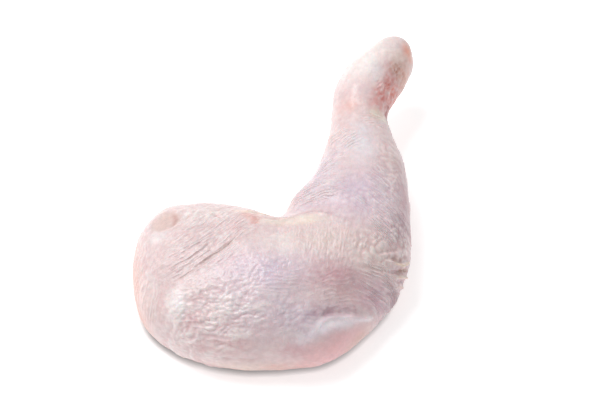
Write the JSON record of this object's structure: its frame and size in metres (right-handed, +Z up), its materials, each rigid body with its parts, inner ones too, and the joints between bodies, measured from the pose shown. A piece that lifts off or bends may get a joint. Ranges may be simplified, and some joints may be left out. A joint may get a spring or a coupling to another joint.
{
  "type": "raw chicken leg",
  "caption": "Raw skin-on chicken leg, thigh and drumstick in one bent piece, lying skin side up on its pressed-flat underside.",
  "frame": {"origin": "centre of the bounding box in plan, on the surface that the leg lies on", "axes": "+X from the hip end towards the knee, +Y from the thigh towards the ankle, +Z up through the skin side"},
  "size_m": [0.1304, 0.1738, 0.0439],
  "materials": {
    "raw_skin": "moist, translucent pink-white raw poultry skin, satin"
  },
  "bodies": {
    "root": {"chicken_leg": "raw_skin"}
  },
  "joints": []
}
